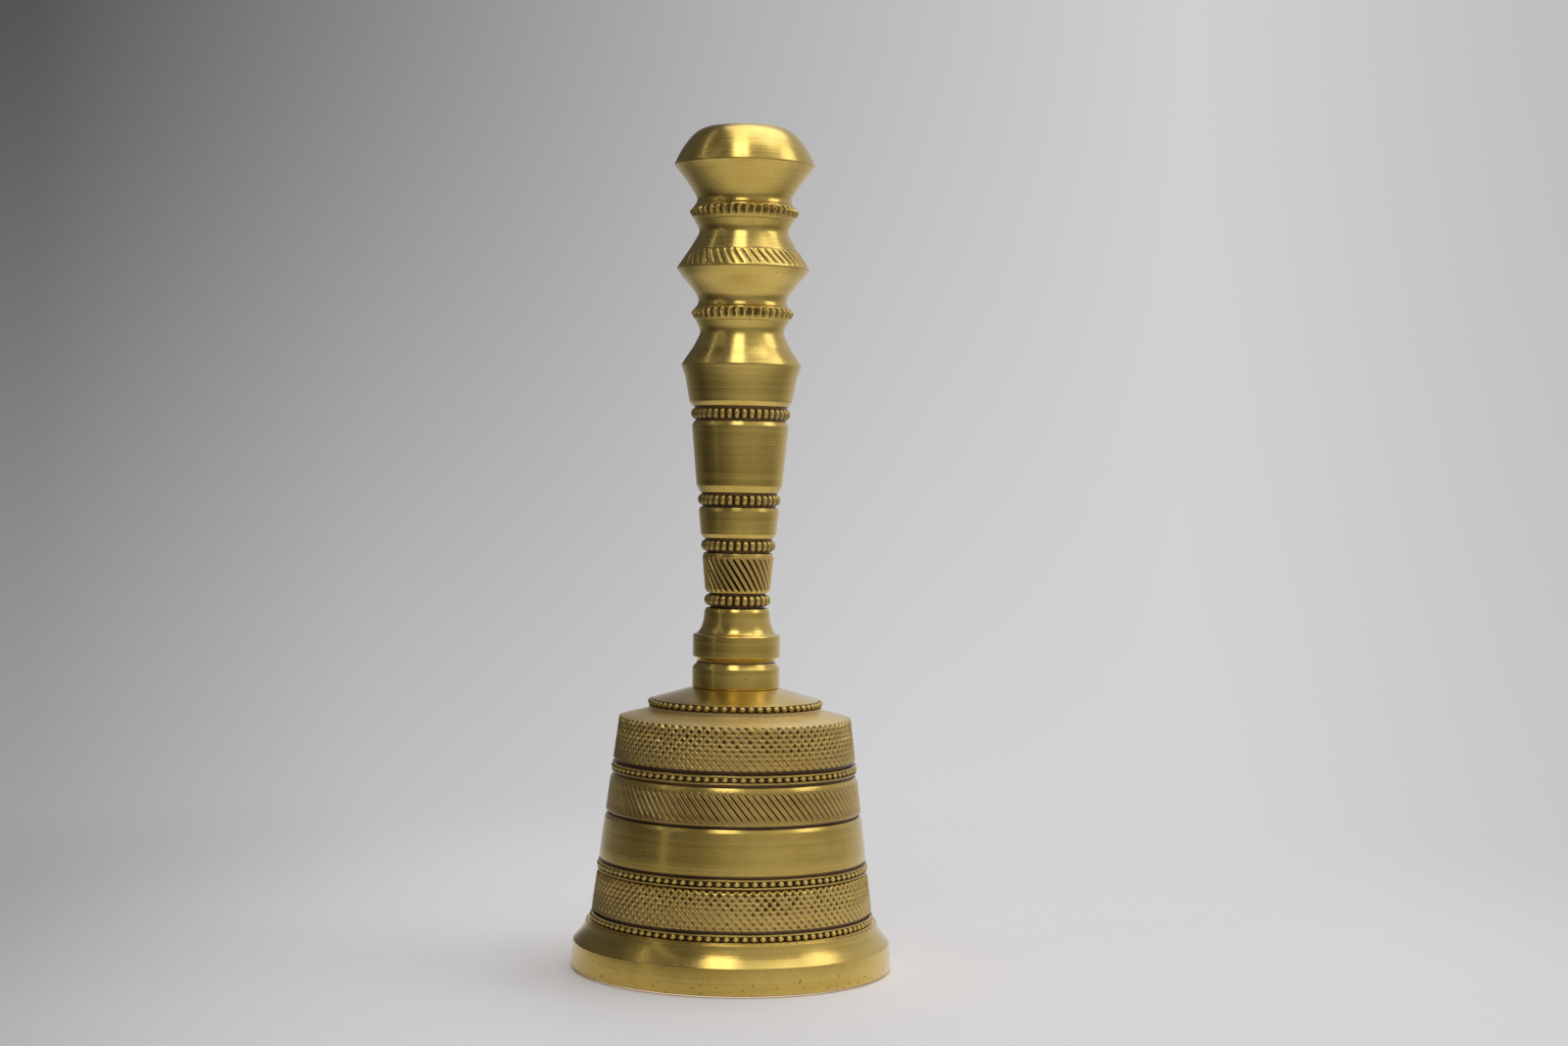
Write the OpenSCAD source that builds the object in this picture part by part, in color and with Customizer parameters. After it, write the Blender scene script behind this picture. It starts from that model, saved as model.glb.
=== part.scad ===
// Brass hand bell for household worship. A cast and turned cup is screwed to a turned handle by a
// stud, and a clapper hangs from the stud's drilled end on a wire link.
// Millimetres. The rim stands on Z = 0, and Z is the axis of every turned piece.

/* [Rim] */
// Radius of the rim where it stands
rim_r = 36.3; // [34:0.1:44]
// Height of the plain side of the rim
rim_h = 5.9; // [4:0.1:9]
// How far the side of the rim leans in over its height
rim_lean = 0.45; // [0:0.05:1]
// Small bevel on the foot of the rim
rim_bevel = 0.4; // [0.2:0.1:0.8]
// Width of the flat that the bell stands on, from the bevel to the mouth
lip_w = 3.6; // [2.5:0.1:5]
// Height of the hollow flare above the side of the rim
flare_h = 4.5; // [3:0.1:6]
// How deep the flare is hollowed
flare_hollow = 0.45; // [0:0.05:1]

/* [Cup] */
// Radius of the tapered side where it meets the flare
cup_r = 32.1; // [26.7:0.1:33]
// Slope of the tapered side, in degrees from upright
taper = 7.2; // [3:0.1:9]
// Thickness of the tapered wall
wall = 4; // [3:0.1:5.5]
// Thickness of the crown at the shoulder
crown_t = 4.5; // [3.5:0.1:7]
// Radius of the inside corner between wall and crown
corner_r = 6; // [3:0.5:9]
// Height at which the inner flare of the mouth ends
throat_h = 12; // [8:0.5:16]

/* [Bands of the cup] */
// Height of the lower knurled band
lower_knurl_h = 8.5; // [5:0.1:12]
// Height of the plain polished band
plain_h = 9.9; // [5:0.1:14]
// Height of the band of slanting cuts
slant_h = 8.1; // [5:0.1:12]
// Height of the upper knurled band
upper_knurl_h = 9.25; // [6:0.05:14]
// Height of the narrow ring under the upper knurled band
fillet_h = 0.7; // [0.4:0.1:2]
// Height of the bevel along the top of a band
bevel_h = 0.9; // [0.3:0.1:1.5]
// How far a bevel leans in
bevel_in = 0.4; // [0.1:0.05:0.8]
// Width of a dark groove between bands
groove_w = 0.75; // [0.4:0.05:1.5]
// Width of the fine groove over the lower knurled band
fine_groove_w = 0.4; // [0.2:0.05:1]
// Depth of a dark groove between bands
groove_d = 1; // [0.5:0.1:1.5]
// Radius of a bead in the two lower rows
bead_r = 0.9; // [0.7:0.05:1.1]
// Radius of a bead in the upper row
small_bead_r = 0.6; // [0.4:0.05:0.9]

/* [Crown] */
// Width of the sloping shoulder
shoulder_w = 6.7; // [4:0.1:8]
// Height of the sloping shoulder
shoulder_h = 1.7; // [1:0.1:4]
// Height of the plain lip under the beads of the crown
crown_lip_h = 0.9; // [0.4:0.1:1.5]
// Radius of a bead round the crown
crown_bead_r = 0.65; // [0.5:0.05:1]
// Height of the shallow cone from the beads to the seat of the handle
crown_cone_h = 2.6; // [1:0.1:5]

/* [Foot of the handle] */
// Radius of the ring that sits on the crown
foot_r = 9.85; // [8.6:0.05:11.8]
// Height of the ring that sits on the crown
foot_h = 4.4; // [3:0.1:8]
// Depth of the V groove above the ring
vee_d = 1.2; // [0.5:0.1:2]
// Height of the V groove
vee_h = 2.8; // [2:0.1:4]
// Height of the collar above the V groove
collar_h = 4.7; // [3:0.1:8]
// Height of the hollow sweep from the collar to the stem
cove_h = 6.3; // [4:0.1:9]
// Radius at the top of the hollow sweep
cove_r = 7.45; // [6.8:0.05:8.2]

/* [Stem of the handle] */
// Radius of the stem where its slanting cuts begin
stem_r = 7.3; // [6.8:0.05:8.5]
// Slope of the stem's side, in degrees from upright
stem_taper = 5.6; // [3:0.1:7]
// Height of the stem's band of slanting cuts
stem_slant_h = 9; // [6:0.1:12]
// Height of the short plain band
short_band_h = 6.9; // [4:0.1:9]
// Height of the long plain band
long_band_h = 16; // [10:0.1:20]
// Height of a beaded row with the grooves beside it
row_h = 3.4; // [2.8:0.1:5]
// Depth of the channel that a beaded row stands in
row_d = 0.9; // [0.7:0.1:1.3]
// Radius of a bead on the handle
handle_bead_r = 1.1; // [0.8:0.05:1.3]

/* [Grip of the handle] */
// Height of the flared band under the lowest sharp edge
flared_band_h = 9.1; // [5:0.1:14]
// Radius of the lowest sharp edge
low_edge_r = 13.6; // [12.8:0.1:17]
// Radius of the middle sharp edge
mid_edge_r = 15; // [13.5:0.1:18]
// Radius of the sharp edge of the knob
knob_edge_r = 15.95; // [14:0.05:19.5]
// Height of a sharp edge's narrow land
edge_land = 0.3; // [0.1:0.1:1]
// Radius of the lower neck
low_neck_r = 9.6; // [8.6:0.1:10]
// Radius of the middle neck
mid_neck_r = 10.1; // [8.6:0.1:10.5]
// Radius of the neck under the knob
knob_neck_r = 10.75; // [8.6:0.05:11.3]
// Radius of the lower notched ridge
low_ridge_r = 11.6; // [11.1:0.1:13]
// Radius of the upper notched ridge
high_ridge_r = 12.4; // [11.9:0.1:14]
// Height of a notched ridge from neck to neck
ridge_h = 7; // [5:0.05:10]
// Width of the notched bevel on top of a ridge
ridge_bevel_w = 1.2; // [0.6:0.1:1.6]
// Height of the notched bevel on top of a ridge
ridge_bevel_h = 1.8; // [1:0.1:1.9]
// Height of the polished cone above the lowest edge
low_cone_h = 7.4; // [5:0.1:12]
// Height of the cut cone above the middle edge
mid_cone_h = 8.2; // [5:0.1:12]
// Height of the cone that opens out under the middle edge
mid_under_h = 7.1; // [5:0.1:12]
// Height of the cone that opens out under the knob
knob_under_h = 7.8; // [5:0.1:12]
// Height of the rounded cap of the knob
cap_h = 8.7; // [5:0.1:14]
// Radius of the flat on top of the knob
cap_flat_r = 9.4; // [5:0.1:11]

/* [Fixing] */
// Radius of the screwed stud
stud_r = 4; // [3.2:0.05:4.8]
// How far the stud screws into the handle
stud_grip = 16; // [10:0.5:18]
// Depth of the handle's hole past the end of the stud
drill_spare = 2; // [1:0.5:4]
// Gap all round between the stud and the threads of the handle and the nut
thread_gap = 0.05; // [0.02:0.01:0.15]
// Gap all round between the stud and the hole in the crown and the washer
hole_gap = 0.2; // [0.1:0.05:0.5]
// Thickness of the washer
washer_t = 1.2; // [0.8:0.1:2]
// Radius of the washer
washer_r = 8.6; // [7:0.1:12]
// Width of the nut across its flats
nut_w = 13; // [11.5:0.1:15]
// Height of the nut
nut_h = 5; // [4:0.1:7]

/* [Clapper] */
// Thickness of the flattened end of the stud
tongue_t = 5; // [3.5:0.1:6]
// Distance from the nut down to the middle of the stud's cross hole
hole_drop = 3.8; // [3.6:0.1:6]
// Radius of the wire of the link
link_wire_r = 1.1; // [0.7:0.02:1.4]
// Gap between the link and each flat of the stud
link_gap = 0.4; // [0.3:0.05:1]
// Length of the straight sides of the link
link_side = 3; // [2:0.1:6]
// Radius of the wire of the clapper's eye
eye_wire_r = 1.1; // [0.8:0.05:1.2]
// Gap between the eye and the wire of the link inside it
eye_gap = 0.55; // [0.5:0.05:1.2]
// Radius of the rod of the clapper
rod_r = 1.5; // [1.1:0.05:2]
// Radius of the ball of the clapper
ball_r = 7.5; // [6:0.1:9]
// Gap between the ball and the surface that the bell stands on
ball_lift = 5.6; // [4.5:0.1:8]

/* [Hidden] */
$fn = 96;

brass = "#c8a24a";
steel = "#a9abad";
over = 1;         // how far a cut runs past the face that it opens
curve_steps = 8;  // straight pieces in a curved stretch of an outline
bead_gap = 0.1;   // between a row of beads and each side of its channel
bead_sink = 0.55; // the middle of a bead lies this share of its radius inside the band's face
row_sink = 0.9;   // and the bottom of its channel lies this share of its radius inside

// Heights of the cup's bands, from the rim upwards
rim_row_z = rim_h + flare_h;
lower_knurl_z = rim_row_z + cup_row_h(bead_r) + groove_w;
lower_row_z = lower_knurl_z + lower_knurl_h + fine_groove_w;
plain_z = lower_row_z + cup_row_h(bead_r) + groove_w;
slant_z = plain_z + plain_h + groove_w;
upper_row_z = slant_z + slant_h + groove_w;
fillet_z = upper_row_z + cup_row_h(small_bead_r);
upper_knurl_z = fillet_z + fillet_h + groove_w;
shoulder_z = upper_knurl_z + upper_knurl_h;
crown_lip_z = shoulder_z + shoulder_h;
crown_row_z = crown_lip_z + crown_lip_h;
crown_cone_z = crown_row_z + cup_row_h(crown_bead_r);
seat_z = crown_cone_z + crown_cone_h;
ceiling_z = shoulder_z - crown_t;
crown_r = side_r(shoulder_z) - shoulder_w;

// Heights of the handle's members, from the seat upwards
collar_z = seat_z + foot_h + vee_h;
cove_z = collar_z + collar_h;
row1_z = cove_z + cove_h;
stem_slant_z = row1_z + row_h;
row2_z = stem_slant_z + stem_slant_h;
short_band_z = row2_z + row_h;
row3_z = short_band_z + short_band_h;
long_band_z = row3_z + row_h;
row4_z = long_band_z + long_band_h;
flared_band_z = row4_z + row_h;
low_edge_z = flared_band_z + flared_band_h;
low_neck_z = low_edge_z + edge_land + low_cone_h;
mid_under_z = low_neck_z + ridge_h;
mid_edge_z = mid_under_z + mid_under_h;
mid_neck_z = mid_edge_z + edge_land + mid_cone_h;
knob_under_z = mid_neck_z + ridge_h;
knob_edge_z = knob_under_z + knob_under_h;
top_z = knob_edge_z + edge_land + cap_h;
ridge_tip = 0.6;   // how far up a ridge its tip lies
ridge_land = 0.2;  // the narrow land under the tip of a ridge
cone_hollow = 0.3; // how deep the grip's cones are hollowed
cap_round = 0.9;   // how far the knob's cap swells
chamfer = 0.3;     // small bevel on the ends of turned pieces

// The stud, washer and nut hang from the ceiling of the cup
washer_z = ceiling_z - washer_t;
nut_z = washer_z - nut_h;
pivot_z = nut_z - hole_drop; // the link turns here, about X
link_bend_r = tongue_t / 2 + link_gap + link_wire_r;
cross_hole_gap = 1.8; // room for the bend of the link in the cross hole
cross_hole_r = link_wire_r + cross_hole_gap;
tongue_wall = 1.9;
tongue_r = cross_hole_r + tongue_wall;
round_below_nut = 0.5;
stud_top_z = seat_z + stud_grip;

// The clapper hangs in the bottom bend of the link
wire_gap = 0.1;
link_h = 2 * link_bend_r + link_side;
eye_r = link_wire_r + eye_wire_r + eye_gap;
eye_z = pivot_z - link_h + link_wire_r + wire_gap + eye_wire_r; // the clapper turns here, about Y
ball_flat = 0.4; // how much is turned off each end of the ball
ball_z = ball_lift + ball_r - ball_flat;
ball_top_z = ball_z + ball_r - ball_flat;
rod_gap = 0.05;
rod_collar_r = rod_r + 0.9;
rod_collar_h = 1.2;
rivet_flare = 0.8; // how far the rod's riveted end spreads
rivet_h = 1.2;

// Radius of the cup's tapered side at height z
function side_r(z) = cup_r - (z - rim_row_z) * tan(taper);

// Height of the channel of a beaded row of the cup
function cup_row_h(ball) = 2 * (ball + bead_gap);

// Radius of the stem's tapered side at height z
function stem_side_r(z) = stem_r + (z - stem_slant_z) * tan(stem_taper);

// A line from one corner to another that bows towards the axis by sag, or away from it if sag is
// below zero: a parabola on the straight line
function bowed(r0, z0, r1, z1, sag) =
    [for (i = [0 : curve_steps]) let (t = i / curve_steps)
        [r0 + (r1 - r0) * t - sag * 4 * t * (1 - t), z0 + (z1 - z0) * t]];

// A hollow quarter of an ellipse that leaves the first corner level and reaches the second upright
function cove(r0, z0, r1, z1) =
    [for (i = [0 : curve_steps]) let (a = 90 * i / curve_steps)
        [r0 + (r1 - r0) * sin(a), z0 + (z1 - z0) * (1 - cos(a))]];

// A band of the cup from z upwards, sunk by d below the taper
function band(z, h, d = 0) = [[side_r(z) - d, z], [side_r(z + h) - d, z + h]];

// A band of the cup whose top edge is bevelled
function bevelled_band(z, h) =
    [[side_r(z), z], [side_r(z + h - bevel_h), z + h - bevel_h], [side_r(z + h) - bevel_in, z + h]];

// A channel in the stem for a beaded row
function stem_row(z) = [[stem_side_r(z) - row_d, z], [stem_side_r(z + row_h) - row_d, z + row_h]];

// A band of the stem, bevelled below and above
function stem_band(z, h) =
    [[stem_side_r(z) - bevel_in, z],
     [stem_side_r(z + bevel_h), z + bevel_h],
     [stem_side_r(z + h - bevel_h), z + h - bevel_h],
     [stem_side_r(z + h) - bevel_in, z + h]];

// A ridge on the grip: it rises from one neck to a sharp tip and falls back in a steep bevel
function ridge(z, r) =
    let (tip_z = z + ridge_h * ridge_tip)
    [[r - ridge_land, tip_z - ridge_land],
     [r, tip_z],
     [r - ridge_bevel_w, tip_z + ridge_bevel_h]];

// A solid of revolution from the points of its outer line, closed along the axis
module turned(outline) {
    rotate_extrude()
        polygon(concat([[0, outline[0][1]]], outline, [[0, outline[len(outline) - 1][1]]]));
}

// The round crest that the beads of one row are cut from
module bead_ring(r, z, ball) {
    translate([0, 0, z]) rotate_extrude() translate([r - ball, 0]) circle(r = ball, $fn = 48);
}

// The crest of a beaded row of the cup, standing out of the taper
module cup_row(z, ball) {
    bead_ring(side_r(z + ball) + ball * (1 - bead_sink), z + bead_gap + ball, ball);
}

// The crest of a beaded row of the stem
module stem_bead_row(z) {
    bead_ring(stem_side_r(z + row_h / 2), z + row_h / 2, handle_bead_r);
}

// The cup: rim, banded side, shoulder and stepped crown, hollowed from below and drilled on top
module bell_shell() {
    outside = concat(
        [[rim_r - rim_bevel, 0], [rim_r, rim_bevel]],
        bowed(rim_r - rim_lean, rim_h, side_r(rim_row_z) + bead_r, rim_row_z, flare_hollow),
        band(rim_row_z, cup_row_h(bead_r), bead_r * row_sink),
        band(lower_knurl_z - groove_w, groove_w, groove_d),
        bevelled_band(lower_knurl_z, lower_knurl_h),
        band(lower_row_z - fine_groove_w, fine_groove_w, groove_d),
        band(lower_row_z, cup_row_h(bead_r), bead_r * row_sink),
        band(plain_z - groove_w, groove_w, groove_d),
        bevelled_band(plain_z, plain_h),
        band(slant_z - groove_w, groove_w, groove_d),
        bevelled_band(slant_z, slant_h),
        band(upper_row_z - groove_w, groove_w, groove_d),
        band(upper_row_z, cup_row_h(small_bead_r), small_bead_r * row_sink),
        band(fillet_z, fillet_h, small_bead_r * (1 - row_sink)),
        band(upper_knurl_z - groove_w, groove_w, groove_d),
        band(upper_knurl_z, upper_knurl_h),
        [[crown_r, crown_lip_z],
         [crown_r, crown_row_z],
         [crown_r - crown_bead_r, crown_row_z],
         [crown_r - crown_bead_r, crown_cone_z],
         [foot_r, seat_z]]);
    corner_z = ceiling_z - corner_r;
    inner_r = side_r(corner_z) - wall;
    hollow = concat(
        [[rim_r - rim_bevel - lip_w, -over],
         [rim_r - rim_bevel - lip_w, 0],
         [side_r(throat_h) - wall, throat_h]],
        [for (i = [0 : curve_steps]) let (a = 90 * i / curve_steps)
            [inner_r - corner_r * (1 - cos(a)), corner_z + corner_r * sin(a)]]);
    color(brass)
    difference() {
        union() {
            turned(outside);
            cup_row(rim_row_z, bead_r);
            cup_row(lower_row_z, bead_r);
            cup_row(upper_row_z, small_bead_r);
            bead_ring(crown_r + crown_bead_r * (1 - bead_sink),
                      crown_row_z + bead_gap + crown_bead_r, crown_bead_r);
        }
        turned(hollow);
        translate([0, 0, ceiling_z - over])
            cylinder(r = stud_r + hole_gap, h = seat_z - ceiling_z + 2 * over);
    }
}

// The handle: one turned bar, drilled and tapped from below for the stud
module handle() {
    outside = concat(
        [[foot_r - chamfer, seat_z],
         [foot_r, seat_z + chamfer],
         [foot_r, seat_z + foot_h],
         [foot_r - vee_d, seat_z + foot_h + vee_h / 2],
         [foot_r, collar_z],
         [foot_r, cove_z]],
        cove(foot_r - chamfer, cove_z + chamfer, cove_r, row1_z - bevel_h),
        [[cove_r - bevel_in, row1_z]],
        stem_row(row1_z),
        stem_band(stem_slant_z, stem_slant_h),
        stem_row(row2_z),
        stem_band(short_band_z, short_band_h),
        stem_row(row3_z),
        stem_band(long_band_z, long_band_h),
        stem_row(row4_z),
        [[stem_side_r(flared_band_z) - bevel_in, flared_band_z],
         [stem_side_r(flared_band_z + bevel_h), flared_band_z + bevel_h],
         [low_edge_r - 0.8, low_edge_z - 2.2],
         [low_edge_r, low_edge_z]],
        bowed(low_edge_r, low_edge_z + edge_land, low_neck_r, low_neck_z, cone_hollow),
        ridge(low_neck_z, low_ridge_r),
        bowed(mid_neck_r, mid_under_z, mid_edge_r, mid_edge_z, cone_hollow),
        bowed(mid_edge_r, mid_edge_z + edge_land, mid_neck_r, mid_neck_z, cone_hollow),
        ridge(mid_neck_z, high_ridge_r),
        bowed(knob_neck_r, knob_under_z, knob_edge_r, knob_edge_z, cone_hollow),
        bowed(knob_edge_r, knob_edge_z + edge_land, cap_flat_r, top_z, -cap_round));
    color(brass)
    difference() {
        union() {
            turned(outside);
            for (z = [row1_z, row2_z, row3_z, row4_z]) stem_bead_row(z);
        }
        translate([0, 0, seat_z - over])
            cylinder(r = stud_r + thread_gap, h = over + stud_grip + drill_spare);
    }
}

// The stud: a screwed rod whose lower end is flattened and drilled across for the link
module handle_stud() {
    flat_h = tongue_r + hole_drop - round_below_nut;
    color(steel)
    difference() {
        union() {
            translate([0, 0, pivot_z]) cylinder(r = stud_r, h = stud_top_z - pivot_z - chamfer);
            translate([0, 0, stud_top_z - chamfer])
                cylinder(r1 = stud_r, r2 = stud_r - chamfer, h = chamfer);
            intersection() {
                translate([0, 0, pivot_z - tongue_r]) cylinder(r = stud_r, h = tongue_r);
                translate([0, 0, pivot_z]) rotate([0, 90, 0])
                    cylinder(r = tongue_r, h = 2 * stud_r + 2 * over, center = true);
            }
        }
        for (side = [-1, 1])
            translate([side * (tongue_t / 2 + stud_r), 0, pivot_z - tongue_r + flat_h / 2 - over / 2])
                cube([2 * stud_r, 2 * stud_r + 2 * over, flat_h + over], center = true);
        translate([0, 0, pivot_z]) rotate([0, 90, 0])
            cylinder(r = cross_hole_r, h = 2 * stud_r + 2 * over, center = true);
    }
}

// The washer between the nut and the cast ceiling of the cup
module crown_washer() {
    color(steel)
    translate([0, 0, washer_z])
    difference() {
        cylinder(r = washer_r, h = washer_t);
        translate([0, 0, -over]) cylinder(r = stud_r + hole_gap, h = washer_t + 2 * over);
    }
}

// The nut, six-sided with rounded-off corners, that clamps the cup against the handle
module fixing_nut() {
    corner_w = nut_w / 2 / cos(30);
    color(steel)
    translate([0, 0, nut_z])
    difference() {
        intersection() {
            cylinder(r = corner_w, h = nut_h, $fn = 6);
            turned([[nut_w / 2, 0], [corner_w + 0.1, corner_w - nut_w / 2],
                    [corner_w + 0.1, nut_h - corner_w + nut_w / 2], [nut_w / 2, nut_h]]);
        }
        translate([0, 0, -over]) cylinder(r = stud_r + thread_gap, h = nut_h + 2 * over);
    }
}

// Half of a wire ring in the XZ plane, arching upwards
module half_ring(bend, wire) {
    rotate([90, 0, 0]) rotate_extrude(angle = 180) translate([bend, 0]) circle(r = wire, $fn = 48);
}

// The link: a closed oval of wire through the stud's cross hole
module clapper_link() {
    color(steel)
    translate([0, 0, pivot_z - link_bend_r]) {
        half_ring(link_bend_r, link_wire_r);
        for (side = [-1, 1])
            translate([side * link_bend_r, 0, -link_side]) cylinder(r = link_wire_r, h = link_side);
        translate([0, 0, -link_side]) rotate([0, 180, 0]) half_ring(link_bend_r, link_wire_r);
    }
}

// The rod: an eye bent at the top, a collar above the ball and a riveted lower end
module clapper_rod() {
    eye_low_z = eye_z - 2 * eye_r;
    color(brass) {
        translate([0, 0, eye_z - eye_r]) rotate([0, 90, 0])
            rotate_extrude() translate([eye_r, 0]) circle(r = eye_wire_r, $fn = 48);
        turned([[rod_r + rivet_flare, ball_lift],
                [rod_r, ball_lift + rivet_h],
                [rod_r, ball_top_z],
                [rod_collar_r, ball_top_z],
                [rod_collar_r, ball_top_z + rod_collar_h],
                [rod_r, ball_top_z + rod_collar_h],
                [rod_r, eye_low_z - eye_wire_r],
                [eye_wire_r, eye_low_z]]);
    }
}

// The ball: turned brass with its ends faced flat, drilled through and countersunk below
module clapper_ball() {
    color(brass)
    translate([0, 0, ball_z])
    difference() {
        sphere(r = ball_r);
        for (side = [-1, 1])
            translate([0, 0, side * (ball_r - ball_flat + over)])
                cube([2 * ball_r, 2 * ball_r, 2 * over], center = true);
        cylinder(r = rod_r + rod_gap, h = 2 * ball_r + over, center = true);
        translate([0, 0, -ball_r + ball_flat - over])
            cylinder(r1 = rod_r + rod_gap + rivet_flare * (1 + over / rivet_h),
                     r2 = rod_r + rod_gap, h = rivet_h + over);
    }
}

bell_shell();
handle();
handle_stud();
crown_washer();
fixing_nut();
clapper_link();
clapper_rod();
clapper_ball();
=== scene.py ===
import bpy
import numpy as np
from mathutils import Matrix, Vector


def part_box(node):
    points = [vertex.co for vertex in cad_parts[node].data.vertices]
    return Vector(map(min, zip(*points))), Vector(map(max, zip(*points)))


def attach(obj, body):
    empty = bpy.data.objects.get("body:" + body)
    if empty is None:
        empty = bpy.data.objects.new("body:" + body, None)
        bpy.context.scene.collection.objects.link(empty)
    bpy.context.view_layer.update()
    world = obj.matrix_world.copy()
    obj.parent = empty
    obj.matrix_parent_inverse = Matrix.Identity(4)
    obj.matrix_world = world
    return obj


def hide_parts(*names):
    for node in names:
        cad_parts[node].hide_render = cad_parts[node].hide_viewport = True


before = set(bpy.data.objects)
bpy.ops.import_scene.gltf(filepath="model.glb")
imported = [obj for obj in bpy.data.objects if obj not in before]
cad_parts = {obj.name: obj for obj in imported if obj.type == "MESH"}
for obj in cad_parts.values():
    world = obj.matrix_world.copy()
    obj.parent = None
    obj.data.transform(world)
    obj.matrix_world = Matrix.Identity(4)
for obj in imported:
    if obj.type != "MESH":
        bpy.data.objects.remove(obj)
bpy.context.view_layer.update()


# ---- Cup ------------------------------------------------------------------------------------
# The cup is one brass casting, turned inside and out and left with lathe lines. Its bands are
# parted by narrow grooves whose floors carry painted shade; the wall is about 4 mm thick and opens
# out into a heavy rim.

# Sizes are in millimetres until a mesh is made, and heights count from the rim's foot.
mm_per_metre = 1000.0
metres_per_mm = 0.001
rim_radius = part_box("bell_shell")[1][0] * mm_per_metre
seat_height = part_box("bell_shell")[1][2] * mm_per_metre
cup_radius = 32.1
cup_taper = np.tan(np.radians(7.2))
rim_row = 10.4
lower_knurl_low, lower_knurl_high = 13.15, 21.65
plain_low, plain_high = 24.8, 34.7
slant_low, slant_high = 35.45, 43.55
upper_knurl_low, upper_knurl_high = 47.15, 55.4
shoulder_radius, shoulder_height = 25.2, 56.67
crown_radius = 19.59
wall = 4.0
stud_hole = 4.2
ceiling_corner, ceiling = 45.9, 51.9
channel_depth = 1.0
band_bevel = 0.4

# Finishes of the brass, in the order in which every brass piece carries them. The third is a
# dark copy of the brass, painted shade for grooves, channels, necks and the undersides of edges.
POLISHED = 0
WORN = 1
PAINTED_SHADE = 2
# The fourth is a rougher copy with a lighter colour, painted light on the top of the shoulder.
SATIN_PAINTED_LIGHT = 3


def side(height):
    """Radius of the cup's tapered side: the cup's radius less the rise over the rim row times the
    tangent of the taper."""
    return cup_radius - (height - rim_row) * cup_taper


def eased(corners, ease=0.14, loop=True):
    """Outline rows (radius, height, finish) with softened corners. Each corner c that turns by more
    than 15 degrees gives way to the curve (1-t)^2 a + 2t(1-t) c + t^2 b, where a and b lie `ease`
    from it along its two sides, or a third of the way along a short one. An open outline keeps its
    two end points, and of two rows at one place the second is kept."""
    rows = np.asarray(corners, float)
    apart = np.linalg.norm(np.diff(rows[:, :2], axis=0), axis=1) > 1e-6
    rows = rows[np.append(apart, True)]
    point, finish = rows[:, :2], rows[:, 2]
    back = np.roll(point, 1, axis=0) - point
    onward = np.roll(point, -1, axis=0) - point
    a = point + back * np.minimum(ease / np.linalg.norm(back, axis=1), 1 / 3)[:, None]
    b = point + onward * np.minimum(ease / np.linalg.norm(onward, axis=1), 1 / 3)[:, None]
    t = np.linspace(0, 1, 5)[None, :, None]
    curve = (1 - t) ** 2 * a[:, None] + 2 * t * (1 - t) * point[:, None] + t**2 * b[:, None]
    kind = np.where(t[0, :, 0] < 0.5, np.roll(finish, 1)[:, None], finish[:, None])
    soft = np.concatenate([curve, kind[..., None]], axis=2)
    along = -(back * onward).sum(axis=1) / np.linalg.norm(back, axis=1) / np.linalg.norm(onward, axis=1)
    gentle = along > np.cos(np.radians(15))
    if not loop:
        gentle[[0, -1]] = True
    soft[gentle, 2] = rows[gentle]
    keep = np.ones(soft.shape[:2], bool)
    keep[gentle] = [False, False, True, False, False]
    return soft[keep]


def curved(points, parts=5):
    """Smooth line through points, as polished outline rows: between two points it is the cubic
    p1 + (p2-p0) t/2 + (2p0-5p1+4p2-p3) t^2/2 + (3p1-p0-3p2+p3) t^3/2 of the four nearest."""
    p = np.asarray(points, float)
    p = np.concatenate([[2 * p[0] - p[1]], p, [2 * p[-1] - p[-2]]])
    p0, p1, p2, p3 = (p[i : len(p) - 3 + i, None] for i in range(4))
    t = (np.arange(parts) / parts)[None, :, None]
    line = p1 + (p2 - p0) * t / 2 + (2 * p0 - 5 * p1 + 4 * p2 - p3) * t**2 / 2
    line = line + (3 * p1 - p0 - 3 * p2 + p3) * t**3 / 2
    line = np.concatenate([line.reshape(-1, 2), p[-2:-1]])
    return np.concatenate([line, np.full((len(line), 1), POLISHED)], axis=1).tolist()


def divided(outline, step, loop=True):
    """Outline with each side cut into n equal parts no longer than `step`: p + (q - p) k / n."""
    p = outline if loop else outline[:-1]
    q = np.roll(outline, -1, axis=0)[: len(p)]
    parts = np.maximum(1, np.ceil(np.linalg.norm((q - p)[:, :2], axis=1) / step)).astype(int)
    part_of = np.repeat(np.arange(len(p)), parts)
    k = np.arange(parts.sum()) - np.repeat(np.cumsum(parts) - parts, parts)
    cut = p[part_of] + (q - p)[part_of] * (k / parts[part_of])[:, None]
    cut[:, 2] = p[part_of, 2]
    return cut if loop else np.concatenate([cut, outline[-1:]])


def skinned(name, points, quads, fans, kinds, materials, grime):
    """Mesh piece from points in mm, faces with four and with three corners, the finish of each face
    and the dirt and painted shade of each point. An edge that turns by more than 50 degrees stays sharp."""
    mesh = bpy.data.meshes.new(name)
    mesh.from_pydata((points * metres_per_mm).tolist(), [], quads.tolist() + fans.tolist())
    for material in materials:
        mesh.materials.append(material)
    mesh.polygons.foreach_set("material_index", kinds.astype(np.int32))
    mesh.polygons.foreach_set("use_smooth", np.ones(len(kinds), bool))
    mesh.attributes.new("grime", "FLOAT", "POINT").data.foreach_set("value", grime.astype(np.float32))
    mesh.set_sharp_from_angle(angle=np.radians(50))
    piece = bpy.data.objects.new(name, mesh)
    bpy.context.scene.collection.objects.link(piece)
    return piece


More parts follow.
